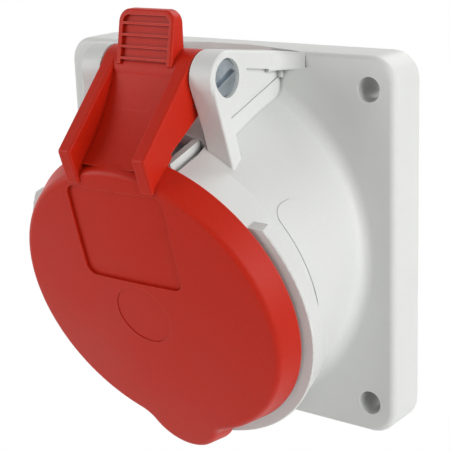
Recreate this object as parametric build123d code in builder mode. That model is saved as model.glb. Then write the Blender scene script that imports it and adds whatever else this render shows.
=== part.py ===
from build123d import *
import os
from math import asin, atan2, cos, hypot, radians, sin, sqrt

# Angled industrial panel socket with a sprung hinged lid, 16 A, five pole, 400 V.
# All sizes are in millimetres. The origin is the centre of the flange's back face,
# which lies on the panel. X runs to the right, Z up, and the socket faces -Y.

# Flange
flange_width = 98.6
flange_height = 92.3
flange_thickness = 11.5
flange_corner = 6.5
flange_edge_fillet = 1.6
hole_pitch_x = 85.0
hole_pitch_z = 77.0
hole_diameter = 5.9
hole_boss_radius = 5.2
corner_pocket_depth = 8.0
corner_pocket_wall = 2.8
relief_depth = 5.4
relief_half_width = 26.5
relief_flat_half_width = 6.0
relief_drop = 3.6

# Tilted axis of the collar: the plane of the lid's rim, its centre and its slope
tilt = 17.5
face_reach = 37.2
face_drop = 10.1

# Dome and collar
dome_foot_radius = 40.6
dome_foot_rise = -0.6
dome_waist_radius = 40.1
dome_foot_fillet = 3.0
collar_radius = 38.0
collar_length = 9.0
collar_setback = 0.9
shell_wall = 2.8
collar_web = 3.2
band_radius = 41.9
band_reach = 14.0
band_taper = 7.0
band_end_width = 2.8
band_back_tilt = 5.5
band_shift = -0.6
band_top = 23.0
band_fillet = 0.35
pad_height = 0.25
pad_forward = -13.3
pad_up = 5.2
pad_width = 7.4
pad_length = 34.9
pad_corner = 3.2

# Socket tube inside the collar
bore_radius = 29.0
tube_wall = 2.5
tube_fit = 0.05
tube_depth = 34.0
keyway_width = 7.6
keyway_depth = 3.0
keyway_wall = 2.2
lip_inner_radius = 32.1
lip_width = 1.8
lip_height = 2.4

# Notch in the top of the collar, between the ears
notch_half_width = 11.0
notch_back = 12.5
notch_rim_width = 1.9
notch_groove_width = 1.6
notch_floor = 34.4
notch_rim_top = 36.9
notch_rim_height = 0.8

# Ears and hinge
hinge_y = -33.9
hinge_z = 43.0
ear_inner = 13.35
ear_outer = 19.45
ear_head_radius = 6.1
ear_bar = 4.0
ear_bar_setback = 0.4
ear_bar_foot_x = 22.8
ear_bar_foot_y = -36.4
ear_bar_foot_z = 20.5
ear_web_recess = 1.3
ear_plinth_recess = 1.05
ear_edge_fillet = 0.5
ear_root_z = 45.7
ear_root_low_z = 34.0
ear_root_round = 1.0
ear_root_bite = 2.0
ear_web_foot_y = -33.0
ear_web_foot_z = 26.5
ear_web_back_y = -12.5
ear_web_low_z = 30.3
ear_web_root_z = 39.9
ear_web_top_z = 41.8
ear_web_top_y = -27.0
ear_web_top_rise = 2.4
ear_web_corner = 0.7
ear_web_head_radius = 7.4
ear_gusset = 6.0
ear_gusset_fillet = 0.8
pin_radius = 2.5
pin_fit = 0.05
pin_head_radius = 4.3
pin_head_clearance = 0.2
pin_head_height = 2.3
pin_head_recess = 3.1
pin_slot_width = 1.4
pin_slot_depth = 1.3
pin_slot_angle = 24.0
clip_thickness = 0.8
clip_radius = 4.0
clip_clearance = 0.1
clip_groove = 0.4
clip_opening = 2.2
pin_chamfer = 0.3
pin_end_setback = 0.9

# Lid
lid_radius = 39.1
lid_height = 8.0
lid_crown_radius = 34.5
lid_crown = 1.6
lid_draft = 20.0
lid_edge_round = 1.8
lid_wall = 2.4
lid_nose_radius = 12.65
lid_nose_drop = 33.0
lid_nose_blend = 5.0
arm_inner = 9.1
arm_outer = 12.85
arm_front = 7.0
arm_foot_up = 33.5
arm_corner_up = 41.3
arm_corner_round = 0.8
arm_root_forward = 2.0
arm_root_up = 35.4
arm_heel_forward = -2.1
arm_heel_up = 38.1
arm_heel_rise = 0.8
arm_back_forward = -13.9
arm_back_up = 42.2
arm_nick_up = 45.0
arm_nick_depth = 1.9
bridge_foot_forward = 4.4
bridge_foot_up = 37.3
bridge_sag = 1.1
arm_edge_fillet = 0.6
barrel_radius = 6.0
bridge_wall = 3.2
tab_half_width = 8.2
tab_back_y = -34.6
tab_front_top_y = -37.6
tab_front_low_y = -39.9
tab_bottom = 45.6
tab_top = 57.9
tab_corner = 3.0
tab_field_half_width = 6.9
tab_field_depth = 0.8
tab_edge_fillet = 0.6
tab_field_margin = 1.3
tab_rib_pitch = 2.67
tab_rib_width = 0.55
tab_rib_count = 4
tab_rib_low = 1.3
label_width = 29.0
label_top = 32.4
label_bottom = 8.2
label_corner = 2.6
label_depth = 0.7
disc_radius = 7.9
disc_drop = 0.9
disc_depth = 0.18
catch_width = 9.0
catch_up = 26.3
catch_thickness = 2.0
catch_clearance = 0.8
lid_cavity_radius = 36.6
lid_cavity_straight = 1.0

# Lid gasket
gasket_inner_radius = 31.4
gasket_outer_radius = 34.6
gasket_rest_gap = 0.3
gasket_thickness = 2.4
gasket_seat_clearance = 0.1

# Lid spring, wound round the hinge pin
spring_wire = 0.9
spring_radius = 3.25
spring_turns = 5.326
spring_pitch = 1.1
spring_pocket_clearance = 0.4
spring_rear_leg = 9.6
spring_front_leg = 8.0
spring_start = 30.0
spring_pocket_lift = 3.0

# Panel gasket in the back of the flange
panel_gasket_radius = 41.6
panel_gasket_width = 3.2
panel_gasket_depth = 2.0
panel_gasket_clearance = 0.1
gasket_groove_wall = 3.2

# Contact carrier
carrier_radius = 23.0
carrier_front = 6.0
carrier_base_radius = 30.6
carrier_base_thickness = 4.0
carrier_rear = 10.0
carrier_rear_radius = 25.4
carrier_front_round = 0.8
contact_circle = 14.8
phase_pin_radius = 2.5
earth_pin_radius = 3.0
sleeve_wall = 1.1
sleeve_clearance = 0.1
sleeve_slit = 0.8
entry_clearance = 0.45
tail_length = 11.0
wire_bore_radius = 1.9
ring_wire = 0.8
ring_setback = 6.0
seal_thickness = 0.8
seal_clearance = 0.15
carrier_face_wall = 3.0
ring_room = 0.65
screw_radius = 1.75
screw_head_radius = 2.9
screw_head_height = 1.8
screw_slot_width = 0.8
screw_slot_depth = 0.8
fix_screw_circle = 33.2
fix_screw_length = 12.0
fix_boss_radius = 3.4
cover_thickness = 2.4
cover_round = 0.6
cover_screw_length = 10.0
screw_clearance = 0.25
wire_hole_radius = 2.6
terminal_channel_depth = 3.2
terminal_channel_clearance = 0.3
terminal_setback = 5.0
tail_setback = 0.6
sleeve_fit = 0.05
sleeve_bore_depth = 21.0
slit_length = 15.0
ring_groove = 0.3
ring_side_clearance = 0.05
thread_clearance = 0.05

os.makedirs("parts", exist_ok=True)

# Planes: the face plane looks along the tilted axis, its local Y is up in the face.
# The side plane cuts through the axis, with its local X forward along the axis.
axis_out = (0, -cos(radians(tilt)), -sin(radians(tilt)))
face_plane = Plane(origin=(0, -face_reach, -face_drop), x_dir=(1, 0, 0), z_dir=axis_out)
side_plane = Plane(origin=(0, -face_reach, -face_drop), x_dir=axis_out, z_dir=(-1, 0, 0))


def forward_of(y, z):
    """Distance of a point of the X = 0 plane in front of the rim plane."""
    return -(y + face_reach) * cos(radians(tilt)) - (z + face_drop) * sin(radians(tilt))


def up_of(y, z):
    """Distance of a point of the X = 0 plane above the tilted axis."""
    return -(y + face_reach) * sin(radians(tilt)) + (z + face_drop) * cos(radians(tilt))


def crown_at(radius, height):
    """Height over the rim plane of a surface crowned as the lid's face is."""
    return height - lid_crown * (radius / lid_crown_radius) ** 2


hinge_forward = forward_of(hinge_y, hinge_z)
hinge_up = up_of(hinge_y, hinge_z)
collar_front = -collar_setback
collar_back = -collar_length
tube_radius = bore_radius + tube_wall
tube_back = -tube_depth
lid_ceiling = collar_front + lip_height + gasket_rest_gap + gasket_thickness
tab_length = hypot(tab_top - tab_bottom, tab_front_top_y - tab_front_low_y)
tab_plane = Plane(
    origin=(0, tab_front_low_y, tab_bottom),
    x_dir=(1, 0, 0),
    z_dir=(0, tab_bottom - tab_top, tab_front_top_y - tab_front_low_y),
)
bridge_top = tab_plane.from_local_coords((0, 0, -tab_field_depth))
bridge_top_forward = forward_of(bridge_top.Y, bridge_top.Z)
bridge_top_up = up_of(bridge_top.Y, bridge_top.Z)
lid_reach = lid_nose_drop + lid_nose_radius + lid_edge_round

# Middle of the hollow arc that leads from the lid's round rim into its nose
blend_to_rim = lid_radius + lid_nose_blend
blend_to_nose = lid_nose_radius + lid_nose_blend
blend_drop = (blend_to_rim**2 - blend_to_nose**2 + lid_nose_drop**2) / (2 * lid_nose_drop)
blend_x = sqrt(blend_to_rim**2 - blend_drop**2)
spring_length = spring_turns * spring_pitch
base_front = tube_back - seal_thickness
base_back = base_front - carrier_base_thickness
carrier_back = base_back - carrier_rear
sleeve_front = -carrier_front - carrier_face_wall
spring_pocket_radius = spring_radius + spring_wire / 2 + spring_pocket_clearance
spring_pocket_half_width = spring_length / 2 + spring_wire / 2 + spring_pocket_clearance
spring_front_angle = spring_start + 360 * spring_turns - 360 * int(spring_turns) + 90
clip_x = -ear_outer + pin_head_recess - clip_clearance - clip_thickness
face_axis = Axis((0, -face_reach, -face_drop), axis_out)
hole_spots = [(x * hole_pitch_x / 2, z * hole_pitch_z / 2) for x in (-1, 1) for z in (-1, 1)]

phase_pocket_radius = phase_pin_radius + sleeve_wall + ring_room
earth_pocket_radius = earth_pin_radius + sleeve_wall + ring_room
contact_angles = [-90 - 72 * step for step in range(5)]
contact_spots = [
    (contact_circle * cos(radians(angle)), contact_circle * sin(radians(angle)))
    for angle in contact_angles
]
tail_front = carrier_back + tail_setback + tail_length


def terminal_plane(angle):
    """Plane across a contact's terminal screw, looking outwards from the tilted axis."""
    across = cos(radians(angle))
    up = sin(radians(angle))
    outward = (across, -up * sin(radians(tilt)), up * cos(radians(tilt)))
    centre = face_plane.offset(carrier_back + terminal_setback).origin
    return Plane(origin=centre, x_dir=axis_out, z_dir=outward)


# Top of the ears, from the head round the pin down to the flange
top_run = hypot(hinge_y + flange_thickness - ear_root_bite, hinge_z - ear_root_z + ear_root_round)
top_slope = asin((ear_head_radius - ear_root_round) / top_run) - atan2(
    ear_root_z - ear_root_round - hinge_z, ear_root_bite - flange_thickness - hinge_y
)
ear_top_plane = Plane(
    origin=(
        0,
        hinge_y + ear_head_radius * sin(top_slope),
        hinge_z + ear_head_radius * cos(top_slope),
    ),
    x_dir=(1, 0, 0),
    z_dir=(0, sin(top_slope), cos(top_slope)),
)

band_back_plane = Plane(
    origin=face_plane.from_local_coords((0, band_top, collar_front - band_end_width)),
    x_dir=(1, 0, 0),
    z_dir=(0, -cos(radians(tilt + band_back_tilt)), -sin(radians(tilt + band_back_tilt))),
)

# Places half way between the flange and the collar, for the waist of the dome
waist_plane = Plane(
    origin=(
        0,
        -(flange_thickness + face_reach - collar_length * cos(radians(tilt))) / 2,
        (dome_foot_rise - face_drop + collar_length * sin(radians(tilt))) / 2,
    ),
    x_dir=(1, 0, 0),
    z_dir=(0, -cos(radians(tilt / 2)), -sin(radians(tilt / 2))),
)

# Front bar of the right ear, splayed outwards from the pin down to the dome
with BuildPart() as front_bar:
    with BuildSketch(Plane.XY.offset(hinge_z)):
        with Locations((ear_inner, hinge_y - ear_head_radius + ear_bar_setback)):
            Rectangle(ear_outer - ear_inner, ear_bar, align=(Align.MIN, Align.MIN))
    with BuildSketch(Plane.XY.offset(ear_bar_foot_z)):
        with Locations((ear_bar_foot_x, ear_bar_foot_y)):
            Rectangle(ear_outer - ear_inner, ear_bar, align=(Align.MAX, Align.MIN))
    loft()
    bar_side = front_bar.faces().filter_by(Axis.Z, reverse=True).sort_by(Axis.X)[-1]
    fillet(bar_side.edges().sort_by(SortBy.LENGTH)[-2:], ear_edge_fillet)

# Soft corner that leads the right ear's top bar into the flange
with BuildPart() as gusset:
    with BuildSketch(Plane.XY.offset(ear_web_top_z)):
        with BuildLine():
            Polyline(
                (ear_outer, -flange_thickness - ear_gusset),
                (ear_outer - ear_web_recess, -flange_thickness - ear_gusset),
                (ear_outer - ear_web_recess, -flange_thickness + ear_root_bite),
                (ear_outer + ear_gusset, -flange_thickness + ear_root_bite),
                (ear_outer + ear_gusset, -flange_thickness),
            )
            RadiusArc(
                (ear_outer + ear_gusset, -flange_thickness),
                (ear_outer, -flange_thickness - ear_gusset),
                -ear_gusset,
            )
        make_face()
    extrude(amount=hinge_z + ear_head_radius - ear_web_top_z)
    split(bisect_by=ear_top_plane, keep=Keep.BOTTOM)
    hollow_side = gusset.faces().filter_by(GeomType.CYLINDER)[0]
    fillet(hollow_side.edges().filter_by(Axis.Z, reverse=True), ear_gusset_fillet)

# One ear, on the right: a web out to the flange, a head for the pin, and a front bar
# that splays outwards to land on the dome
with BuildPart() as ear:
    with BuildSketch(Plane.YZ.offset(ear_inner)):
        with BuildLine():
            CenterArc((hinge_y, hinge_z), ear_head_radius, 0, 360)
            for spot in (
                (-flange_thickness + ear_root_bite, ear_root_z - ear_root_round),
                (-flange_thickness + ear_root_bite, ear_root_low_z),
                (ear_web_foot_y, ear_web_foot_z),
            ):
                CenterArc(spot, ear_root_round, 0, 360)
        make_hull()
    extrude(amount=ear_outer - ear_inner)
    fillet(ear.faces().sort_by(Axis.X)[-1].edges(), ear_edge_fillet)


    # Web behind the bar: a recess under the top bar, and a plinth on the dome
    with BuildSketch(Plane.YZ.offset(ear_outer - ear_web_recess)) as recess:
        with BuildLine():
            Polyline(
                (hinge_y - ear_head_radius, hinge_z),
                (hinge_y - ear_head_radius, ear_web_low_z),
                (ear_web_back_y, ear_web_root_z),
                (ear_web_back_y, ear_web_top_z),
                (ear_web_top_y, ear_web_top_z + ear_web_top_rise),
                close=True,
            )
        make_face()
        fillet(recess.vertices().group_by(Axis.Y)[-1], ear_web_corner)
        with Locations((hinge_y, hinge_z)):
            Circle(ear_web_head_radius, mode=Mode.SUBTRACT)
    extrude(amount=ear_web_recess, mode=Mode.SUBTRACT)
    with BuildSketch(Plane.YZ.offset(ear_outer - ear_plinth_recess)):
        with BuildLine():
            Polyline(
                (hinge_y - ear_head_radius, ear_web_low_z),
                (ear_web_back_y, ear_web_root_z),
                (0, ear_web_root_z),
                (0, ear_bar_foot_z),
                (hinge_y - ear_head_radius, ear_bar_foot_z),
                close=True,
            )
        make_face()
    extrude(amount=ear_plinth_recess, mode=Mode.SUBTRACT)
    add(front_bar.part)

    # Soft corner between the top of the ear and the flange
    add(gusset.part)

    # Hole for the hinge pin, with a recess for its head or its clip
    with BuildSketch(Plane.YZ.offset(ear_inner)):
        with Locations((hinge_y, hinge_z)):
            Circle(pin_radius + pin_fit)
    extrude(amount=ear_outer - ear_inner, mode=Mode.SUBTRACT)
    with BuildSketch(Plane.YZ.offset(ear_outer - pin_head_recess)):
        with Locations((hinge_y, hinge_z)):
            Circle(pin_head_radius + pin_head_clearance)
    extrude(amount=2 * pin_head_recess, mode=Mode.SUBTRACT)

# Band round the lower part of the collar: drafted, cut off on a steeper plane behind
# and ending square below the ears
with BuildPart() as band:
    with BuildSketch(face_plane.offset(collar_front)):
        with Locations((0, band_shift)):
            Circle(band_radius)
    extrude(amount=-band_reach, taper=band_taper)
    fillet(band.faces().sort_by(face_axis)[-1].edges(), band_fillet)
    split(bisect_by=band_back_plane, keep=Keep.TOP)
    with BuildSketch(face_plane.offset(collar_front)):
        with Locations((0, band_top)):
            Rectangle(2 * band_radius, 2 * band_radius, align=(Align.CENTER, Align.MIN))
    extrude(amount=-band_reach, mode=Mode.SUBTRACT)

# Raised pad on the right of the dome, a rounded outline that follows its surface
with BuildPart() as pad:
    with BuildSketch(Plane.XZ.offset(flange_thickness)):
        with Locations((0, dome_foot_rise)):
            Circle(dome_foot_radius + pad_height)
    with BuildSketch(waist_plane):
        Circle(dome_waist_radius + pad_height)
    with BuildSketch(face_plane.offset(collar_back)):
        Circle(collar_radius + pad_height)
    loft()
    with BuildSketch(side_plane.offset(-2 * dome_foot_radius)):
        with Locations((pad_forward, pad_up)):
            RectangleRounded(pad_width, pad_length, pad_corner)
    extrude(amount=1.5 * dome_foot_radius, mode=Mode.INTERSECT)

# Housing: flange, dome, collar, band and ears, moulded in one piece
with BuildPart() as housing:
    with BuildSketch(Plane.XZ):
        RectangleRounded(flange_width, flange_height, flange_corner)
    extrude(amount=flange_thickness)
    fillet(housing.faces().sort_by(Axis.Y)[0].edges(), flange_edge_fillet)

    # Dome, from a circle on the flange to the tilted circle behind the collar
    with BuildSketch(Plane.XZ.offset(flange_thickness)):
        with Locations((0, dome_foot_rise)):
            Circle(dome_foot_radius)
    with BuildSketch(waist_plane):
        Circle(dome_waist_radius)
    with BuildSketch(face_plane.offset(collar_back)):
        Circle(collar_radius)
    loft()
    foot_edge = housing.edges().filter_by(GeomType.BSPLINE).sort_by(Axis.Y)[-1]
    fillet(foot_edge, dome_foot_fillet)

    # Collar
    with BuildSketch(face_plane.offset(collar_back)):
        Circle(collar_radius)
    extrude(amount=collar_length - collar_setback)

    # Band round the collar, and the plain raised pad on the right of the dome
    add(band.part)
    add(pad.part)

    # Hollow between the outer shell and the socket tube, open at the back
    with BuildSketch(Plane.XZ):
        with Locations((0, dome_foot_rise)):
            Circle(dome_foot_radius - shell_wall)
    with BuildSketch(waist_plane):
        Circle(dome_waist_radius - shell_wall)
    with BuildSketch(face_plane.offset(collar_back)):
        Circle(collar_radius - shell_wall)
    loft(mode=Mode.SUBTRACT)
    with BuildSketch(face_plane.offset(collar_back)):
        Circle(collar_radius - shell_wall)
    extrude(amount=collar_length - collar_setback - collar_web, mode=Mode.SUBTRACT)

    # Notch in the top of the collar, with a raised rim along each side
    with BuildSketch(face_plane.offset(-notch_back)):
        with Locations((0, notch_floor)):
            Rectangle(
                2 * (notch_half_width + notch_rim_width + notch_groove_width),
                collar_radius,
                align=(Align.CENTER, Align.MIN),
            )
    extrude(amount=notch_back, mode=Mode.SUBTRACT)
    with BuildSketch(face_plane.offset(-notch_back)):
        with Locations((0, notch_floor - notch_rim_height)):
            Rectangle(
                2 * (notch_half_width + notch_rim_width),
                notch_rim_top - notch_floor + notch_rim_height,
                align=(Align.CENTER, Align.MIN),
            )
    extrude(amount=notch_back - collar_setback)
    with BuildSketch(face_plane.offset(-notch_back)):
        with Locations((0, notch_floor)):
            Rectangle(2 * notch_half_width, collar_radius, align=(Align.CENTER, Align.MIN))
    extrude(amount=notch_back, mode=Mode.SUBTRACT)
    with BuildSketch(face_plane.offset(-notch_back)):
        with Locations((0, tube_radius)):
            Rectangle(2 * notch_half_width, collar_radius, align=(Align.CENTER, Align.MIN))
    extrude(amount=notch_back - collar_setback - collar_web, mode=Mode.SUBTRACT)

    # Opening for the socket tube in the front of the collar, and the sealing lip round it
    with BuildSketch(face_plane.offset(collar_front)):
        Circle(lip_inner_radius + lip_width)
        Circle(lip_inner_radius, mode=Mode.SUBTRACT)
    extrude(amount=lip_height)
    with BuildSketch(face_plane.offset(tube_back)):
        Circle(tube_radius + tube_fit)
        with Locations((0, -bore_radius)):
            Rectangle(
                keyway_width + 2 * keyway_wall + 2 * tube_fit,
                keyway_depth + keyway_wall + tube_fit,
                align=(Align.CENTER, Align.MAX),
            )
    extrude(amount=tube_depth - collar_setback, mode=Mode.SUBTRACT)
    with BuildSketch(face_plane.offset(tube_back)):
        with PolarLocations(fix_screw_circle, 2):
            Circle(fix_boss_radius + tube_fit)
    extrude(amount=tube_depth - collar_setback - collar_web, mode=Mode.SUBTRACT)

    # Back of the flange: corner pockets round the screw bosses, and the gasket's groove
    with BuildSketch(Plane.XZ):
        RectangleRounded(
            flange_width - 2 * corner_pocket_wall,
            flange_height - 2 * corner_pocket_wall,
            flange_corner - corner_pocket_wall,
        )
        Circle(panel_gasket_radius + panel_gasket_width / 2 + gasket_groove_wall, mode=Mode.SUBTRACT)
        with Locations(*hole_spots):
            Circle(hole_boss_radius, mode=Mode.SUBTRACT)
    extrude(amount=corner_pocket_depth, mode=Mode.SUBTRACT)
    with BuildSketch(Plane.XZ):
        Circle(panel_gasket_radius + panel_gasket_width / 2 + panel_gasket_clearance)
        Circle(
            panel_gasket_radius - panel_gasket_width / 2 - panel_gasket_clearance,
            mode=Mode.SUBTRACT,
        )
    extrude(amount=panel_gasket_depth, mode=Mode.SUBTRACT)
    with BuildSketch(Plane.XZ):
        with Locations(*hole_spots):
            Circle(hole_diameter / 2)
    extrude(amount=flange_thickness, mode=Mode.SUBTRACT)

    # Relief in the front top edge of the flange, behind the lid's tab
    with BuildSketch(Plane.XY.offset(flange_height / 2 - relief_drop)):
        with BuildLine():
            Polyline(
                (-relief_half_width, -flange_thickness),
                (-relief_flat_half_width, -flange_thickness + relief_depth),
                (relief_flat_half_width, -flange_thickness + relief_depth),
                (relief_half_width, -flange_thickness),
                close=True,
            )
        make_face()
    extrude(amount=relief_drop, mode=Mode.SUBTRACT)

    # Ears with their recessed webs and splayed front bars
    add(ear.part)
    mirror(ear.part, about=Plane.YZ)

housing.part.label = "housing"
export_step(housing.part, "parts/housing.step")

# Socket tube with its keyway, pushed into the collar from behind until its two screw
# bosses meet the back of the collar's front
with BuildPart() as socket_tube:
    with BuildSketch(face_plane.offset(tube_back)):
        Circle(tube_radius)
        with Locations((0, -bore_radius)):
            Rectangle(
                keyway_width + 2 * keyway_wall,
                keyway_depth + keyway_wall,
                align=(Align.CENTER, Align.MAX),
            )
    extrude(amount=tube_depth - collar_setback)
    with BuildSketch(face_plane.offset(tube_back)):
        with PolarLocations(fix_screw_circle, 2):
            Circle(fix_boss_radius)
    extrude(amount=tube_depth - collar_setback - collar_web)
    with BuildSketch(face_plane.offset(tube_back)):
        Circle(bore_radius)
        with Locations((0, -bore_radius + keyway_depth)):
            Rectangle(keyway_width, 2 * keyway_depth, align=(Align.CENTER, Align.MAX))
    extrude(amount=tube_depth, mode=Mode.SUBTRACT)
    with BuildSketch(face_plane.offset(tube_back)):
        with PolarLocations(fix_screw_circle, 2):
            Circle(screw_radius + thread_clearance)
    extrude(amount=fix_screw_length, mode=Mode.SUBTRACT)

socket_tube.part.label = "socket_tube"
export_step(socket_tube.part, "parts/socket_tube.step")

# Hinge pin: a slotted head in the right ear, and a groove for the clip in the left ear
with BuildPart() as hinge_pin:
    with BuildSketch(Plane.YZ.offset(-ear_outer + pin_end_setback)):
        with Locations((hinge_y, hinge_z)):
            Circle(pin_radius)
    extrude(amount=2 * ear_outer - pin_head_recess - pin_end_setback)
    chamfer(hinge_pin.faces().sort_by(Axis.X)[0].edges(), pin_chamfer)
    with BuildSketch(Plane.YZ.offset(ear_outer - pin_head_recess)):
        with Locations((hinge_y, hinge_z)):
            Circle(pin_head_radius)
    extrude(amount=pin_head_height)
    chamfer(hinge_pin.faces().sort_by(Axis.X)[-1].edges(), pin_chamfer)
    with BuildSketch(Plane.YZ.offset(ear_outer - pin_head_recess + pin_head_height - pin_slot_depth)):
        with Locations(Location((hinge_y, hinge_z), pin_slot_angle)):
            Rectangle(3 * pin_head_radius, pin_slot_width)
    extrude(amount=pin_slot_depth, mode=Mode.SUBTRACT)
    with BuildSketch(Plane.YZ.offset(clip_x - clip_clearance)):
        with Locations((hinge_y, hinge_z)):
            Circle(pin_radius)
            Circle(pin_radius - clip_groove, mode=Mode.SUBTRACT)
    extrude(amount=clip_thickness + 2 * clip_clearance, mode=Mode.SUBTRACT)

hinge_pin.part.label = "hinge_pin"
export_step(hinge_pin.part, "parts/hinge_pin.step")

# Clip that holds the pin, an open ring in the pin's groove
with BuildPart() as pin_clip:
    with BuildSketch(Plane.YZ.offset(clip_x)):
        with Locations((hinge_y, hinge_z)):
            Circle(clip_radius)
            Circle(pin_radius - clip_groove + clip_clearance / 2, mode=Mode.SUBTRACT)
        with Locations((hinge_y, hinge_z + clip_radius)):
            Rectangle(clip_opening, 2 * clip_radius, mode=Mode.SUBTRACT)
    extrude(amount=clip_thickness)

pin_clip.part.label = "pin_clip"
export_step(pin_clip.part, "parts/pin_clip.step")

# Lid spring: a torsion coil round the pin, one leg on the dome and one behind the bridge
coil = Plane(
    origin=(-spring_length / 2, hinge_y, hinge_z),
    x_dir=(0, cos(radians(spring_start)), sin(radians(spring_start))),
    z_dir=(1, 0, 0),
) * Helix(spring_pitch, spring_length, spring_radius)
with BuildPart() as lid_spring:
    with BuildSketch(Plane(origin=coil @ 0, z_dir=coil % 0)):
        Circle(spring_wire / 2)
    sweep(path=coil, is_frenet=True)
    with BuildSketch(Plane(origin=coil @ 0, z_dir=-(coil % 0))):
        Circle(spring_wire / 2)
    extrude(amount=spring_rear_leg)
    with BuildSketch(Plane(origin=coil @ 1, z_dir=coil % 1)):
        Circle(spring_wire / 2)
    extrude(amount=spring_front_leg)

lid_spring.part.label = "lid_spring"
export_step(lid_spring.part, "parts/lid_spring.step")

# One arm of the lid, on the left: from the face up to the barrel
with BuildPart() as arm:
    with BuildSketch(side_plane.offset(arm_inner)):
        with BuildLine():
            CenterArc((arm_front - arm_corner_round, arm_corner_up), arm_corner_round, 0, 360)
            CenterArc((hinge_forward, hinge_up), barrel_radius, 0, 360)
        make_hull()
        with BuildLine():
            Polyline(
                (arm_front, arm_foot_up),
                (arm_front, arm_corner_up),
                (hinge_forward, hinge_up),
                (arm_back_forward, arm_back_up),
                (arm_heel_forward, arm_heel_up + arm_heel_rise),
                (arm_heel_forward, arm_heel_up),
                (arm_root_forward, arm_root_up),
                close=True,
            )
        make_face()
        with BuildLine():
            Polyline(
                (arm_back_forward - arm_nick_depth, arm_nick_up + arm_nick_depth),
                (arm_back_forward + arm_nick_depth / 2, arm_nick_up),
                (arm_back_forward - arm_nick_depth, arm_nick_up - arm_nick_depth),
                close=True,
            )
        make_face(mode=Mode.SUBTRACT)
    extrude(amount=arm_outer - arm_inner)
    fillet(
        arm.faces().sort_by(face_axis)[-1].edges().filter_by(Axis.X, reverse=True),
        arm_edge_fillet,
    )

# Tools that sink the label field and the round disc into the crowned face
with BuildPart() as field_tool:
    with BuildSketch(face_plane):
        with Locations((0, (label_top + label_bottom) / 2)):
            RectangleRounded(label_width, label_top - label_bottom, label_corner)
    extrude(amount=2 * lid_height)
    with BuildSketch(side_plane):
        with BuildLine():
            floor = ThreePointArc(
                (crown_at(0, lid_height - label_depth), 0),
                (crown_at(lid_reach / 2, lid_height - label_depth), lid_reach / 2),
                (crown_at(lid_reach, lid_height - label_depth), lid_reach),
            )
            Polyline(floor @ 1, (-lid_height, lid_reach), (-lid_height, 0), floor @ 0)
        make_face()
    revolve(axis=face_axis, mode=Mode.SUBTRACT)
with BuildPart() as disc_tool:
    with BuildSketch(face_plane):
        with Locations((0, -disc_drop)):
            Circle(disc_radius)
    extrude(amount=2 * lid_height)
    with BuildSketch(side_plane):
        with BuildLine():
            floor = ThreePointArc(
                (crown_at(0, lid_height - disc_depth), 0),
                (crown_at(lid_reach / 2, lid_height - disc_depth), lid_reach / 2),
                (crown_at(lid_reach, lid_height - disc_depth), lid_reach),
            )
            Polyline(floor @ 1, (-lid_height, lid_reach), (-lid_height, 0), floor @ 0)
        make_face()
    revolve(axis=face_axis, mode=Mode.SUBTRACT)

# Thumb tab above the barrel, leaning forward, with a framed field and fine grip ribs
with BuildPart() as tab:
    with BuildSketch(Plane.YZ.offset(-tab_half_width)):
        with BuildLine():
            Polyline(
                (tab_front_low_y, tab_bottom),
                (tab_front_top_y, tab_top),
                (tab_back_y, tab_top),
                (tab_back_y, hinge_z),
                (hinge_y - pin_radius, hinge_z),
                close=True,
            )
        make_face()
    extrude(amount=2 * tab_half_width)
    fillet(tab.edges().filter_by(Axis.Y).group_by(Axis.Z)[-1], tab_corner)
    front = tab.faces().sort_by(Axis(tab_plane.origin, tab_plane.z_dir))[-1]
    fillet(front.edges().sort_by(Axis.Z)[1:], tab_edge_fillet)
    fillet(tab.faces().sort_by(Axis.Y)[-1].edges().sort_by(Axis.Z)[1:], tab_edge_fillet)
    with BuildSketch(tab_plane) as tab_field:
        Rectangle(
            2 * tab_field_half_width,
            2 * (tab_length - tab_field_margin),
        )
        fillet(tab_field.vertices().group_by(Axis.Z)[-1], tab_corner - tab_field_margin)
        for rib in range(tab_rib_count):
            with Locations((0, tab_rib_low + rib * tab_rib_pitch)):
                Rectangle(2 * tab_field_half_width, tab_rib_width, mode=Mode.SUBTRACT)
    extrude(amount=-tab_field_depth, mode=Mode.SUBTRACT)

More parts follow.
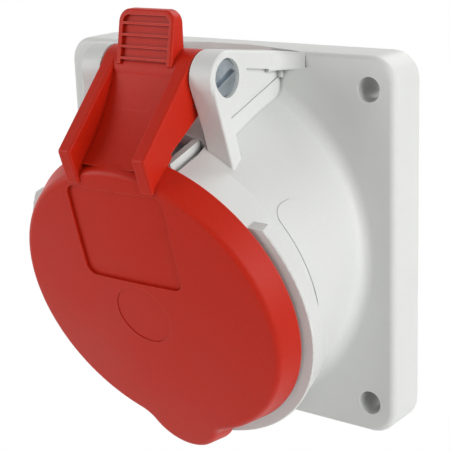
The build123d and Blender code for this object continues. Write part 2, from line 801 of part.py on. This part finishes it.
# Lid
with BuildPart() as lid:
    # Drafted cap with its finger nose, a crowned face and one rounding all round
    with BuildSketch(face_plane) as lid_outline:
        Circle(lid_radius)
        with Locations((0, -lid_nose_drop)):
            Circle(lid_nose_radius)
        with BuildLine():
            Polyline(
                (0, 0),
                (-blend_x, -blend_drop),
                (0, -lid_nose_drop),
                (blend_x, -blend_drop),
                close=True,
            )
        make_face()
        with Locations((-blend_x, -blend_drop), (blend_x, -blend_drop)):
            Circle(lid_nose_blend, mode=Mode.SUBTRACT)
    extrude(amount=lid_height, taper=lid_draft)
    with BuildSketch(side_plane):
        with BuildLine():
            crown = ThreePointArc(
                (crown_at(0, lid_height), 0),
                (crown_at(lid_reach / 2, lid_height), lid_reach / 2),
                (crown_at(lid_reach, lid_height), lid_reach),
            )
            Polyline(crown @ 1, (2 * lid_height, lid_reach), (2 * lid_height, 0), crown @ 0)
        make_face()
    revolve(axis=face_axis, mode=Mode.SUBTRACT)
    fillet(lid.faces().sort_by(face_axis)[-1].edges(), lid_edge_round)

    # Bridge between the arms, up to the barrel
    with BuildSketch(side_plane.offset(-arm_inner)):
        with BuildLine():
            slope = ThreePointArc(
                (bridge_foot_forward, bridge_foot_up),
                (
                    (bridge_foot_forward + bridge_top_forward) / 2 - bridge_sag,
                    (bridge_foot_up + bridge_top_up) / 2 - bridge_sag,
                ),
                (bridge_top_forward, bridge_top_up),
            )
            Polyline(
                slope @ 1,
                (hinge_forward, hinge_up),
                (bridge_foot_forward - bridge_wall * 1.5, bridge_foot_up - bridge_wall * 0.2),
                slope @ 0,
            )
        make_face()
    extrude(amount=2 * arm_inner)
    with BuildSketch(Plane.YZ.offset(-arm_outer)):
        with Locations((hinge_y, hinge_z)):
            Circle(barrel_radius)
    extrude(amount=2 * arm_outer)
    add(arm.part)
    mirror(arm.part, about=Plane.YZ)
    add(tab.part)

    # Cavity under the cap, with a flat seat for the gasket
    with BuildSketch(side_plane):
        with BuildLine():
            inner = ThreePointArc(
                (lid_height - lid_wall, 0),
                ((lid_height - lid_wall + lid_ceiling + lid_crown / 2) / 2, gasket_inner_radius / 2),
                (lid_ceiling, gasket_inner_radius - gasket_seat_clearance),
            )
            seat = Line(inner @ 1, (lid_ceiling, gasket_outer_radius + gasket_seat_clearance))
            corner = TangentArc(
                seat @ 1, (lid_cavity_straight, lid_cavity_radius), tangent=seat % 1
            )
            Polyline(
                corner @ 1,
                (0, lid_cavity_radius),
                (-lid_height, lid_cavity_radius),
                (-lid_height, 0),
                inner @ 0,
            )
        make_face()
    revolve(axis=face_axis, mode=Mode.SUBTRACT)

    # Catch that holds an inserted plug, inside the gasket
    with BuildSketch(face_plane.offset(collar_front + lip_height + catch_clearance)):
        with Locations((0, catch_up)):
            Rectangle(catch_width, catch_thickness)
    extrude(amount=lid_height - lid_wall - collar_front - lip_height - catch_clearance)

    # Sunk label field and disc
    add(field_tool.part, mode=Mode.SUBTRACT)
    add(disc_tool.part, mode=Mode.SUBTRACT)

    # Pin hole, and the pocket for the spring, open at the back
    with BuildSketch(Plane.YZ.offset(-arm_outer)):
        with Locations((hinge_y, hinge_z)):
            Circle(pin_radius + pin_fit)
    extrude(amount=2 * arm_outer, mode=Mode.SUBTRACT)
    with BuildSketch(Plane.YZ.offset(-spring_pocket_half_width)):
        with Locations((hinge_y, hinge_z)):
            Circle(spring_pocket_radius)
        with Locations((hinge_y, hinge_z + spring_pocket_lift)):
            Rectangle(
                2 * barrel_radius,
                2 * barrel_radius,
                align=(Align.MIN, Align.MAX),
            )
        with Locations(Location((hinge_y, hinge_z), spring_front_angle)):
            Rectangle(
                spring_front_leg + spring_radius,
                spring_pocket_radius,
                align=(Align.MIN, Align.MAX),
            )
    extrude(amount=2 * spring_pocket_half_width, mode=Mode.SUBTRACT)

lid.part.label = "lid"
export_step(lid.part, "parts/lid.step")

# Gasket in the lid, a flat ring on its seat
with BuildPart() as lid_gasket:
    with BuildSketch(face_plane.offset(lid_ceiling - gasket_thickness)):
        Circle(gasket_outer_radius)
        Circle(gasket_inner_radius, mode=Mode.SUBTRACT)
    extrude(amount=gasket_thickness)

lid_gasket.part.label = "lid_gasket"
export_step(lid_gasket.part, "parts/lid_gasket.step")

# Gasket in the back of the flange, flush with the panel
with BuildPart() as panel_gasket:
    with BuildSketch(Plane.XZ):
        Circle(panel_gasket_radius + panel_gasket_width / 2)
        Circle(panel_gasket_radius - panel_gasket_width / 2, mode=Mode.SUBTRACT)
    extrude(amount=panel_gasket_depth)

panel_gasket.part.label = "panel_gasket"
export_step(panel_gasket.part, "parts/panel_gasket.step")

# Flat seal between the carrier and the end of the socket tube
with BuildPart() as carrier_seal:
    with BuildSketch(face_plane.offset(base_front)):
        Circle(tube_radius - seal_clearance)
        Circle(bore_radius + seal_clearance, mode=Mode.SUBTRACT)
    extrude(amount=seal_thickness)

carrier_seal.part.label = "carrier_seal"
export_step(carrier_seal.part, "parts/carrier_seal.step")

# Contact carrier: a plug-side cylinder, a base with two lugs, and a rear terminal block
with BuildPart() as contact_carrier:
    with BuildSketch(face_plane.offset(base_front)):
        Circle(carrier_radius)
    extrude(amount=-base_front - carrier_front)
    fillet(contact_carrier.faces().sort_by(face_axis)[-1].edges(), carrier_front_round)
    with BuildSketch(face_plane.offset(base_back)):
        Circle(carrier_base_radius)
        SlotCenterToCenter(2 * fix_screw_circle, 2 * fix_boss_radius)
    extrude(amount=carrier_base_thickness)
    with BuildSketch(face_plane.offset(carrier_back)):
        Circle(carrier_rear_radius)
    extrude(amount=carrier_rear)
    with BuildSketch(face_plane.offset(base_back)):
        with PolarLocations(fix_screw_circle, 2):
            Circle(screw_radius + screw_clearance)
    extrude(amount=carrier_base_thickness, mode=Mode.SUBTRACT)

    # Contact pockets from the rear, pin entries in the front
    with BuildSketch(face_plane.offset(carrier_back)):
        with Locations(*contact_spots[1:]):
            Circle(phase_pocket_radius)
        with Locations(contact_spots[0]):
            Circle(earth_pocket_radius)
    extrude(amount=sleeve_front - carrier_back, mode=Mode.SUBTRACT)
    with BuildSketch(face_plane.offset(sleeve_front)):
        with Locations(*contact_spots[1:]):
            Circle(phase_pin_radius + entry_clearance)
        with Locations(contact_spots[0]):
            Circle(earth_pin_radius + entry_clearance)
    extrude(amount=carrier_face_wall, mode=Mode.SUBTRACT)

    # Side channels for the terminal screws
    for angle in contact_angles:
        with BuildSketch(terminal_plane(angle).offset(carrier_rear_radius - terminal_channel_depth)):
            Circle(screw_head_radius + terminal_channel_clearance)
        extrude(amount=2 * terminal_channel_depth, mode=Mode.SUBTRACT)
        with BuildSketch(terminal_plane(angle).offset(contact_circle)):
            Circle(screw_radius + screw_clearance)
        extrude(amount=carrier_rear_radius - contact_circle, mode=Mode.SUBTRACT)
    with BuildSketch(face_plane.offset(carrier_back)):
        Circle(screw_radius + thread_clearance)
    extrude(amount=cover_screw_length - cover_thickness, mode=Mode.SUBTRACT)

contact_carrier.part.label = "contact_carrier"
export_step(contact_carrier.part, "parts/contact_carrier.step")

# Contact sleeves: slit at the mouth, with a groove for the spring ring, a solid tail
# bored for the wire, and a cross hole for the terminal screw
contact_names = ("contact_earth", "contact_l1", "contact_l2", "contact_l3", "contact_neutral")
for name, angle, spot in zip(contact_names, contact_angles, contact_spots):
    pin = earth_pin_radius if name == "contact_earth" else phase_pin_radius
    pocket = earth_pocket_radius if name == "contact_earth" else phase_pocket_radius
    with BuildPart() as contact:
        with BuildSketch(face_plane.offset(tail_front)):
            with Locations(spot):
                Circle(pin + sleeve_wall)
        extrude(amount=sleeve_front - sleeve_clearance - tail_front)
        with BuildSketch(face_plane.offset(carrier_back + tail_setback)):
            with Locations(spot):
                Circle(pocket - sleeve_clearance)
        extrude(amount=tail_length)
        with BuildSketch(face_plane.offset(sleeve_front - sleeve_bore_depth)):
            with Locations(spot):
                Circle(pin + sleeve_fit)
        extrude(amount=sleeve_bore_depth, mode=Mode.SUBTRACT)
        with BuildSketch(face_plane.offset(sleeve_front - slit_length)):
            with Locations(Location(spot, angle)):
                Rectangle(2 * pocket, sleeve_slit)
        extrude(amount=slit_length, mode=Mode.SUBTRACT)
        with BuildSketch(face_plane.offset(sleeve_front - ring_setback)):
            with Locations(spot):
                Circle(pin + sleeve_wall)
                Circle(pin + sleeve_wall - ring_groove, mode=Mode.SUBTRACT)
        extrude(amount=ring_wire + 2 * ring_side_clearance, mode=Mode.SUBTRACT)
        with BuildSketch(face_plane.offset(carrier_back + tail_setback)):
            with Locations(spot):
                Circle(wire_bore_radius)
        extrude(amount=tail_length - sleeve_wall, mode=Mode.SUBTRACT)
        with BuildSketch(terminal_plane(angle).offset(contact_circle)):
            Circle(screw_radius + thread_clearance)
        extrude(amount=pocket, mode=Mode.SUBTRACT)
    contact.part.label = name
    export_step(contact.part, "parts/" + name + ".step")

# Spring rings that close the slit sleeves on the pins
with BuildPart() as contact_rings:
    for spot in contact_spots:
        pin = earth_pin_radius if spot == contact_spots[0] else phase_pin_radius
        ring_mean = pin + sleeve_wall - ring_groove + ring_wire / 2 + ring_side_clearance
        with BuildSketch(face_plane.offset(sleeve_front - ring_setback + ring_side_clearance)):
            with Locations(spot):
                Circle(ring_mean + ring_wire / 2)
                Circle(ring_mean - ring_wire / 2, mode=Mode.SUBTRACT)
        extrude(amount=ring_wire)

contact_rings.part.label = "contact_rings"
export_step(contact_rings.part, "parts/contact_rings.step")

# Terminal screws, one into the side of each contact's tail
with BuildPart() as terminal_screws:
    for angle in contact_angles:
        seat_at = carrier_rear_radius - terminal_channel_depth
        with BuildSketch(terminal_plane(angle).offset(contact_circle + wire_bore_radius)):
            Circle(screw_radius)
        extrude(amount=seat_at - contact_circle - wire_bore_radius)
        with BuildSketch(terminal_plane(angle).offset(seat_at)):
            Circle(screw_head_radius)
        extrude(amount=screw_head_height)
        with BuildSketch(terminal_plane(angle).offset(seat_at + screw_head_height - screw_slot_depth)):
            Rectangle(3 * screw_head_radius, screw_slot_width)
        extrude(amount=screw_slot_depth, mode=Mode.SUBTRACT)

terminal_screws.part.label = "terminal_screws"
export_step(terminal_screws.part, "parts/terminal_screws.step")

# Screws that hold the carrier to the housing's bosses
with BuildPart() as carrier_screws:
    with BuildSketch(face_plane.offset(base_back)):
        with PolarLocations(fix_screw_circle, 2):
            Circle(screw_radius)
    extrude(amount=fix_screw_length)
    with BuildSketch(face_plane.offset(base_back - screw_head_height)):
        with PolarLocations(fix_screw_circle, 2):
            Circle(screw_head_radius)
    extrude(amount=screw_head_height)
    with BuildSketch(face_plane.offset(base_back - screw_head_height)):
        with PolarLocations(fix_screw_circle, 2):
            Rectangle(3 * screw_head_radius, screw_slot_width)
    extrude(amount=screw_slot_depth, mode=Mode.SUBTRACT)

carrier_screws.part.label = "carrier_screws"
export_step(carrier_screws.part, "parts/carrier_screws.step")

# Rear cover of the terminals, with a wire hole behind each contact
with BuildPart() as rear_cover:
    with BuildSketch(face_plane.offset(carrier_back - cover_thickness)):
        Circle(carrier_rear_radius)
        with Locations(*contact_spots):
            Circle(wire_hole_radius, mode=Mode.SUBTRACT)
        Circle(screw_radius + screw_clearance, mode=Mode.SUBTRACT)
    extrude(amount=cover_thickness)
    fillet(rear_cover.faces().sort_by(face_axis)[0].outer_wire().edges(), cover_round)

rear_cover.part.label = "rear_cover"
export_step(rear_cover.part, "parts/rear_cover.step")

# Screw of the rear cover
with BuildPart() as cover_screw:
    with BuildSketch(face_plane.offset(carrier_back - cover_thickness)):
        Circle(screw_radius)
    extrude(amount=cover_screw_length)
    with BuildSketch(face_plane.offset(carrier_back - cover_thickness - screw_head_height)):
        Circle(screw_head_radius)
    extrude(amount=screw_head_height)
    with BuildSketch(face_plane.offset(carrier_back - cover_thickness - screw_head_height)):
        Rectangle(3 * screw_head_radius, screw_slot_width)
    extrude(amount=screw_slot_depth, mode=Mode.SUBTRACT)

cover_screw.part.label = "cover_screw"
export_step(cover_screw.part, "parts/cover_screw.step")
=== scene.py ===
import bpy
import bmesh
from math import cos, radians, sin
from mathutils import Matrix, Vector


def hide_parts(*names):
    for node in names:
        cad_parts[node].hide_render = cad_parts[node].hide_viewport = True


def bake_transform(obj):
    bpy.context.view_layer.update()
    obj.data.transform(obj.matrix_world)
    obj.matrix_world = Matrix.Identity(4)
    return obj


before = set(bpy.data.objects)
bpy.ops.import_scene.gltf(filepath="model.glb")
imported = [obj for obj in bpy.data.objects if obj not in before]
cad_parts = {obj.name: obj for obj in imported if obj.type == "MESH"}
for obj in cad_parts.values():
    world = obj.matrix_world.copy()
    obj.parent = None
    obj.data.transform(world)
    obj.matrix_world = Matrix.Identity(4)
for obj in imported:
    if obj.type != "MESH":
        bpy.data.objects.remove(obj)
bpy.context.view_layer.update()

# Camera: the photograph's own place, a little above the socket and to its right, turned
# by two degrees, with a long lens so that the flange stays nearly square.
azimuth = radians(37.13)
elevation = radians(15.92)
roll = radians(-2.14)
distance = 0.26521
aim = Vector((0.03169, -0.05300, 0.01547))
sensor_width = 36
picture_pixels = 450
focal_pixels = 1254.37
backward = Vector((sin(azimuth) * cos(elevation), -cos(azimuth) * cos(elevation), sin(elevation)))
level = Vector((cos(azimuth), sin(azimuth), 0))
upright = backward.cross(level)
right = level * cos(roll) + upright * sin(roll)
up = upright * cos(roll) - level * sin(roll)
camera_turn = Matrix((right, up, backward)).transposed().to_4x4()
camera_data = bpy.data.cameras.new("camera")
camera_data.sensor_width = sensor_width
camera_data.lens = sensor_width * focal_pixels / picture_pixels
camera_data.clip_start = 0.01
camera_data.clip_end = 20
camera = bpy.data.objects.new("camera", camera_data)
camera.matrix_world = Matrix.Translation(aim + backward * distance) @ camera_turn
bpy.context.scene.collection.objects.link(camera)
bpy.context.scene.camera = camera

# Studio: a wide pale floor well below the socket, an even room, and soft lamps, the
# strongest on the right. Floor and room are plain white wherever the camera or a
# reflection sees them, and dimmer in the light that they give.
scene = bpy.context.scene
scene.view_settings.view_transform = "Standard"
white = (1, 1, 1, 1)
floor_half_width = 4
floor_height = -0.30
lamp_aim = Vector((0, -0.02, 0))


def feed(tree, node, inputs):
    """Sets a node's inputs, each to a value or to a link from another node's output."""
    for socket, value in inputs.items():
        if isinstance(value, bpy.types.NodeSocket):
            tree.links.new(value, node.inputs[socket])
        else:
            node.inputs[socket].default_value = value


def add_node(tree, kind, inputs, operation=None):
    """A new node with its inputs fed, and its operation where it has one."""
    node = tree.nodes.new(kind)
    if operation:
        node.operation = operation
    feed(tree, node, inputs)
    return node


def calculate(tree, operation, *terms):
    """The result of one sum on numbers and other nodes' outputs."""
    return add_node(tree, "ShaderNodeMath", dict(enumerate(terms)), operation).outputs[0]


def when_seen(tree, rays):
    """One for the listed kinds of ray, and zero for all others."""
    path = tree.nodes.new("ShaderNodeLightPath")
    found = path.outputs[rays[0]]
    for ray in rays[1:]:
        found = calculate(tree, "MAXIMUM", found, path.outputs[ray])
    return found


room = bpy.data.worlds.new("room")
room.use_nodes = True
scene.world = room
room_tree = room.node_tree
room_tree.nodes.clear()
room_light = add_node(
    room_tree, "ShaderNodeBackground", {"Color": (1.0, 0.99, 0.975, 1), "Strength": 0.20}
)
room_white = add_node(room_tree, "ShaderNodeBackground", {"Color": white, "Strength": 1.0})
room_seen = when_seen(room_tree, ("Is Camera Ray", "Is Glossy Ray", "Is Transmission Ray"))
room_mix = add_node(
    room_tree,
    "ShaderNodeMixShader",
    {"Fac": room_seen, 1: room_light.outputs[0], 2: room_white.outputs[0]},
)
add_node(room_tree, "ShaderNodeOutputWorld", {"Surface": room_mix.outputs[0]})

floor_shape = bmesh.new()
bmesh.ops.create_grid(floor_shape, x_segments=1, y_segments=1, size=floor_half_width)
bmesh.ops.translate(floor_shape, vec=(0, 0, floor_height), verts=floor_shape.verts)
floor_mesh = bpy.data.meshes.new("floor")
floor_shape.to_mesh(floor_mesh)
floor_shape.free()
floor = bpy.data.objects.new("floor", floor_mesh)
scene.collection.objects.link(floor)
floor_finish = bpy.data.materials.new("floor_paper")
floor_finish.use_nodes = True
floor_tree = floor_finish.node_tree
paper = floor_tree.nodes["Principled BSDF"]
feed(floor_tree, paper, {"Base Color": (0.75, 0.75, 0.75, 1), "Roughness": 0.9})
glow = add_node(floor_tree, "ShaderNodeEmission", {"Color": white})
floor_seen = when_seen(floor_tree, ("Is Camera Ray", "Is Glossy Ray"))
floor_mix = add_node(
    floor_tree,
    "ShaderNodeMixShader",
    {"Fac": floor_seen, 1: paper.outputs[0], 2: glow.outputs[0]},
)
feed(floor_tree, floor_tree.nodes["Material Output"], {"Surface": floor_mix.outputs[0]})
floor_mesh.materials.append(floor_finish)


def soft_lamp(name, place, size, power):
    """A square soft box at a place, turned to the socket."""
    lamp = bpy.data.lights.new(name, "AREA")
    lamp.size = size
    lamp.energy = power
    holder = bpy.data.objects.new(name, lamp)
    lamp_turn = (lamp_aim - Vector(place)).to_track_quat("-Z", "Y")
    holder.matrix_world = Matrix.Translation(place) @ lamp_turn.to_matrix().to_4x4()
    scene.collection.objects.link(holder)


soft_lamp("lamp_right", (1.30, -0.17, 0.20), 0.8, 9.6)
soft_lamp("lamp_corner", (0.85, -0.85, 0.75), 0.6, 1.6)
soft_lamp("lamp_behind", (0.10, 0.90, 0.95), 0.8, 7.0)
soft_lamp("lamp_front", (-1.10, -0.95, 0.40), 0.8, 8.5)


# Housing and socket tube: flange, dome, collar and ears in one shot of glass-filled
# polyamide, and the sleeve inside them in another, off-white and satin, with the mould's
# fine spark texture, edges a little polished by handling and paler with a painted
# highlight, and painted shade in inner corners and in the bores.
def surface_group(name, inputs):
    """An empty node group with these inputs, which gives colour, roughness and normal."""
    group = bpy.data.node_groups.new(name, "ShaderNodeTree")
    sockets = group.interface
    for title, kind, value in inputs:
        sockets.new_socket(title, in_out="INPUT", socket_type=kind).default_value = value
    for title, kind in (
        ("Colour", "NodeSocketColor"),
        ("Roughness", "NodeSocketFloat"),
        ("Normal", "NodeSocketVector"),
    ):
        sockets.new_socket(title, in_out="OUTPUT", socket_type=kind)
    return group


def fade(tree, value, start, end):
    """Zero up to the start and one from the end on, with an even climb between them."""
    inputs = {"Value": value, "From Min": start, "From Max": end}
    return add_node(tree, "ShaderNodeMapRange", inputs).outputs["Result"]


def soft_clouds(tree, where, scale, detail):
    """Clouds that run from half below zero to half above it."""
    inputs = {"Vector": where, "Scale": scale, "Detail": detail}
    cloud = add_node(tree, "ShaderNodeTexNoise", inputs).outputs["Fac"]
    spread = {"Value": cloud, "From Min": 0.3, "From Max": 0.7, "To Min": -0.5, "To Max": 0.5}
    return add_node(tree, "ShaderNodeMapRange", spread).outputs["Result"]


def times(tree, colour, factor):
    """A colour made lighter or darker by a factor."""
    inputs = {0: colour, "Scale": factor}
    return add_node(tree, "ShaderNodeVectorMath", inputs, "SCALE").outputs["Vector"]


def moulded_surface():
    """The node group of all moulded plastic: grain, clouds, edges paler partly from wear and
    partly from a painted highlight, and painted shade in inner corners and bores.
    """
    feeler_rays = 8
    corner_reach = 0.0014
    bore_reach = 0.008
    edge_radius = 0.0003
    gloss_change = 0.10
    edge_polish = -0.12
    group = surface_group(
        "moulded_surface",
        (
            ("Colour", "NodeSocketColor", (0.8, 0.8, 0.8, 1)),
            ("Edge Highlight And Wear Colour", "NodeSocketColor", (0.9, 0.9, 0.9, 1)),
            ("Roughness", "NodeSocketFloat", 0.4),
            ("Grain Size", "NodeSocketFloat", 2200.0),
            ("Grain Depth", "NodeSocketFloat", 0.00003),
            ("Clouding", "NodeSocketFloat", 0.04),
            ("Edge Wear And Highlight", "NodeSocketFloat", 0.4),
            ("Corner Shade", "NodeSocketFloat", 0.4),
            ("Bore Shade", "NodeSocketFloat", 0.0),
            ("Speckle", "NodeSocketFloat", 0.1),
        ),
    )
    given = group.nodes.new("NodeGroupInput").outputs
    where = group.nodes.new("ShaderNodeTexCoord").outputs["Object"]

    def nearby_air(reach):
        """How much open air a point has within a reach, with its own piece in the way."""
        air = add_node(group, "ShaderNodeAmbientOcclusion", {"Distance": reach})
        air.samples = feeler_rays
        air.only_local = True
        return air.outputs["AO"]

    # Fine grain
    grain_inputs = {"Vector": where, "Scale": given["Grain Size"], "Detail": 4, "Roughness": 0.6}
    grain = add_node(group, "ShaderNodeTexNoise", grain_inputs).outputs["Fac"]
    bump = add_node(group, "ShaderNodeBump", {"Distance": given["Grain Depth"], "Height": grain})

    # Clouding of the melt, and a speckle that follows the grain
    clouds = soft_clouds(group, where, 38, 3)
    cloudy = calculate(group, "MULTIPLY_ADD", clouds, given["Clouding"], 1.0)
    centred = calculate(group, "SUBTRACT", grain, 0.5)
    speckled = calculate(group, "MULTIPLY_ADD", centred, given["Speckle"], cloudy)
    tinted = times(group, given["Colour"], speckled)

    # Outer edges, paler partly from wear and partly from a painted highlight, found by how far
    # a rounded normal leaves the true one, where the air is open and not in an inner corner,
    # and broken up by scuffs
    corner_air = nearby_air(corner_reach)
    rounded = add_node(group, "ShaderNodeBevel", {"Radius": edge_radius})
    rounded.samples = feeler_rays
    true_normal = group.nodes.new("ShaderNodeNewGeometry").outputs["Normal"]
    both = {0: rounded.outputs["Normal"], 1: true_normal}
    agree = add_node(group, "ShaderNodeVectorMath", both, "DOT_PRODUCT").outputs["Value"]
    scuff_inputs = {"Vector": where, "Scale": 420, "Detail": 4}
    scuffs = add_node(group, "ShaderNodeTexNoise", scuff_inputs).outputs["Fac"]
    worn_and_highlit = fade(group, agree, 0.99, 0.94)
    outside = fade(group, corner_air, 0.80, 0.95)
    broken = fade(group, scuffs, 0.20, 0.50)
    for factor in (outside, broken, given["Edge Wear And Highlight"]):
        worn_and_highlit = calculate(group, "MULTIPLY", worn_and_highlit, factor)
    painted = group.nodes.new("ShaderNodeMix")
    painted.data_type = "RGBA"
    feed(group, painted, {"Factor": worn_and_highlit, "A": tinted, "B": given["Edge Highlight And Wear Colour"]})

    # Painted shade: inner corners darker, and narrow bores darker still
    corner = fade(group, corner_air, 0.85, 0.25)
    bore = fade(group, nearby_air(bore_reach), 0.45, 0.15)
    light = 1.0
    for hidden, shade in ((corner, "Corner Shade"), (bore, "Bore Shade")):
        dark = calculate(group, "MULTIPLY", hidden, given[shade])
        light = calculate(group, "SUBTRACT", light, dark)

    # Gloss varies a little with the clouds, and the worn, highlighted edges are a little less
    # rough
    dull = calculate(group, "MULTIPLY_ADD", clouds, gloss_change, given["Roughness"])
    result = {
        "Colour": times(group, painted.outputs["Result"], light),
        "Roughness": calculate(group, "MULTIPLY_ADD", worn_and_highlit, edge_polish, dull),
        "Normal": bump.outputs["Normal"],
    }
    add_node(group, "NodeGroupOutput", result)
    return group


def finish_from(group, name, values, shader_values):
    """A finish made of a node group, with its own values and the shader's."""
    finish = bpy.data.materials.new(name)
    finish.use_nodes = True
    tree = finish.node_tree
    surface = tree.nodes.new("ShaderNodeGroup")
    surface.node_tree = group
    feed(tree, surface, values)
    given = surface.outputs
    looks = {
        "Base Color": given["Colour"],
        "Roughness": given["Roughness"],
        "Normal": given["Normal"],
    }
    feed(tree, tree.nodes["Principled BSDF"], {**looks, **shader_values})
    return finish


moulded_group = moulded_surface()


def moulded_plastic(name, values, shine):
    """A moulded plastic with its own values and shine, with edges paler from wear and a painted
    highlight, and painted shade in inner corners.
    """
    return finish_from(moulded_group, name, values, {"Specular IOR Level": shine})


def dress(node, finish):
    """Puts a finish on every slot of a CAD node."""
    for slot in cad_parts[node].material_slots:
        slot.material = finish


housing_finish = moulded_plastic(
    "offwhite_polyamide",
    {
        "Colour": (0.80, 0.81, 0.79, 1),
        "Edge Highlight And Wear Colour": (0.90, 0.90, 0.88, 1),
        "Roughness": 0.42,
        "Grain Size": 2600.0,
        "Grain Depth": 0.00002,
        "Clouding": 0.03,
        "Edge Wear And Highlight": 0.5,
        "Corner Shade": 0.6,
        "Bore Shade": 0.38,
        "Speckle": 0.10,
    },
    0.4,
)
for piece in ("housing", "socket_tube"):
    dress(piece, housing_finish)

# Lid: a cap, arms, bridge and thumb tab in one shot of red polyamide, satin, with a fine
# grain on the face, edges paler partly from wear and partly from a painted highlight, and
# painted shade in inner corners. It hangs on the hinge pin.
lid_finish = moulded_plastic(
    "red_polyamide",
    {
        "Colour": (0.580, 0.018, 0.004, 1),
        "Edge Highlight And Wear Colour": (0.74, 0.095, 0.065, 1),
        "Roughness": 0.44,
        "Grain Size": 2400.0,
        "Grain Depth": 0.00004,
        "Clouding": 0.03,
        "Edge Wear And Highlight": 0.6,
        "Corner Shade": 0.5,
        "Speckle": 0.35,
    },
    0.20,
)
dress("lid", lid_finish)

# Contact carrier: the same polyamide in red, moulded with a base of two lugs that two
# screws hold behind the tube. The closed lid hides it.
carrier_finish = moulded_plastic(
    "red_carrier",
    {
        "Colour": (0.50, 0.02, 0.012, 1),
        "Edge Highlight And Wear Colour": (0.60, 0.07, 0.05, 1),
        "Roughness": 0.5,
        "Grain Size": 2000.0,
        "Grain Depth": 0.00003,
        "Clouding": 0.06,
        "Edge Wear And Highlight": 0.3,
    },
    0.3,
)
dress("contact_carrier", carrier_finish)

# Rear cover: grey polyamide, moulded with a wire hole behind each contact, pressed on the
# back of the carrier and held by one screw.
cover_finish = moulded_plastic(
    "grey_cover",
    {
        "Colour": (0.10, 0.105, 0.11, 1),
        "Edge Highlight And Wear Colour": (0.2, 0.2, 0.2, 1),
        "Roughness": 0.55,
        "Grain Size": 1600.0,
        "Grain Depth": 0.00005,
        "Clouding": 0.1,
        "Edge Wear And Highlight": 0.4,
    },
    0.4,
)
dress("rear_cover", cover_finish)

# Seals: three rings of matt black rubber. One lies on its seat in the lid, one in the back
# of the flange, and a flat one between the carrier and the end of the tube.
seal_finish = moulded_plastic(
    "black_rubber",
    {
        "Colour": (0.022, 0.022, 0.023, 1),
        "Edge Highlight And Wear Colour": (0.05, 0.05, 0.05, 1),
        "Roughness": 0.72,
        "Grain Size": 1500.0,
        "Grain Depth": 0.00005,
        "Clouding": 0.25,
        "Edge Wear And Highlight": 0.3,
    },
    0.4,
)
for seal in ("lid_gasket", "panel_gasket", "carrier_seal"):
    dress(seal, seal_finish)


# Hinge pin and clip: turned steel with a dull zinc finish, a slotted head in the right
# ear and a spring clip in the left one.
def turned_surface():
    """The node group of all metal pieces: tool marks and clouds in the plating."""
    gloss_change = 0.18
    group = surface_group(
        "turned_surface",
        (
            ("Colour", "NodeSocketColor", (0.5, 0.5, 0.5, 1)),
            ("Roughness", "NodeSocketFloat", 0.35),
            ("Mark Spacing", "NodeSocketFloat", 3000.0),
            ("Mark Depth", "NodeSocketFloat", 0.00001),
            ("Clouding", "NodeSocketFloat", 0.15),
        ),
    )
    given = group.nodes.new("NodeGroupInput").outputs
    where = group.nodes.new("ShaderNodeTexCoord").outputs["Object"]
    drawn_out = {"Vector": where, "Scale": (0.15, 1.0, 1.0)}
    along = add_node(group, "ShaderNodeMapping", drawn_out).outputs["Vector"]
    mark_inputs = {"Vector": along, "Scale": given["Mark Spacing"], "Detail": 3}
    marks = add_node(group, "ShaderNodeTexNoise", mark_inputs).outputs["Fac"]
    bump = add_node(group, "ShaderNodeBump", {"Distance": given["Mark Depth"], "Height": marks})
    clouds = soft_clouds(group, where, 350, 4)
    cloudy = calculate(group, "MULTIPLY_ADD", clouds, given["Clouding"], 1.0)
    result = {
        "Colour": times(group, given["Colour"], cloudy),
        "Roughness": calculate(group, "MULTIPLY_ADD", clouds, gloss_change, given["Roughness"]),
        "Normal": bump.outputs["Normal"],
    }
    add_node(group, "NodeGroupOutput", result)
    return group


turned_group = turned_surface()


def turned_metal(name, values):
    """A metal with its own values."""
    return finish_from(turned_group, name, values, {"Metallic": 1.0})


pin_finish = turned_metal(
    "zinc_steel",
    {
        "Colour": (0.42, 0.47, 0.51, 1),
        "Roughness": 0.38,
        "Mark Spacing": 2600.0,
        "Mark Depth": 0.00002,
        "Clouding": 0.2,
    },
)
for piece in ("hinge_pin", "pin_clip"):
    dress(piece, pin_finish)

# Contact rings and lid spring: drawn stainless wire, bright. The rings lie in the grooves of
# the contacts. The spring's rear leg bears on the dome and its front leg behind the bridge,
# so its coil winds up as the lid opens.
wire_finish = turned_metal(
    "spring_wire",
    {
        "Colour": (0.62, 0.62, 0.61, 1),
        "Roughness": 0.28,
        "Mark Spacing": 4000.0,
        "Mark Depth": 0.00001,
        "Clouding": 0.1,
    },
)
dress("contact_rings", wire_finish)

# A copy of the solid spring's mesh in the wire finish, shown in place of the solid spring
wound_spring = bpy.data.objects.new("wound_spring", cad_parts["lid_spring"].data.copy())
scene.collection.objects.link(wound_spring)
wound_spring.data.materials.clear()
wound_spring.data.materials.append(wire_finish)
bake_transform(wound_spring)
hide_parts("lid_spring")

# Screws: slotted, of steel, zinc plated and faintly yellow. They sit in the terminals, in
# the carrier's lugs and in the rear cover.
screw_finish = turned_metal(
    "plated_screws",
    {
        "Colour": (0.60, 0.58, 0.50, 1),
        "Roughness": 0.34,
        "Mark Spacing": 3000.0,
        "Mark Depth": 0.00002,
        "Clouding": 0.25,
    },
)
for piece in ("terminal_screws", "carrier_screws", "cover_screw"):
    dress(piece, screw_finish)

# Contacts: five turned brass sleeves, slit at the mouth and bored at the tail for the
# wire, pushed into the carrier. The earth sleeve is the larger one.
contact_finish = turned_metal(
    "turned_brass",
    {
        "Colour": (0.72, 0.52, 0.22, 1),
        "Roughness": 0.3,
        "Mark Spacing": 2500.0,
        "Mark Depth": 0.00002,
        "Clouding": 0.15,
    },
)
for piece in ("contact_earth", "contact_l1", "contact_l2", "contact_l3", "contact_neutral"):
    dress(piece, contact_finish)
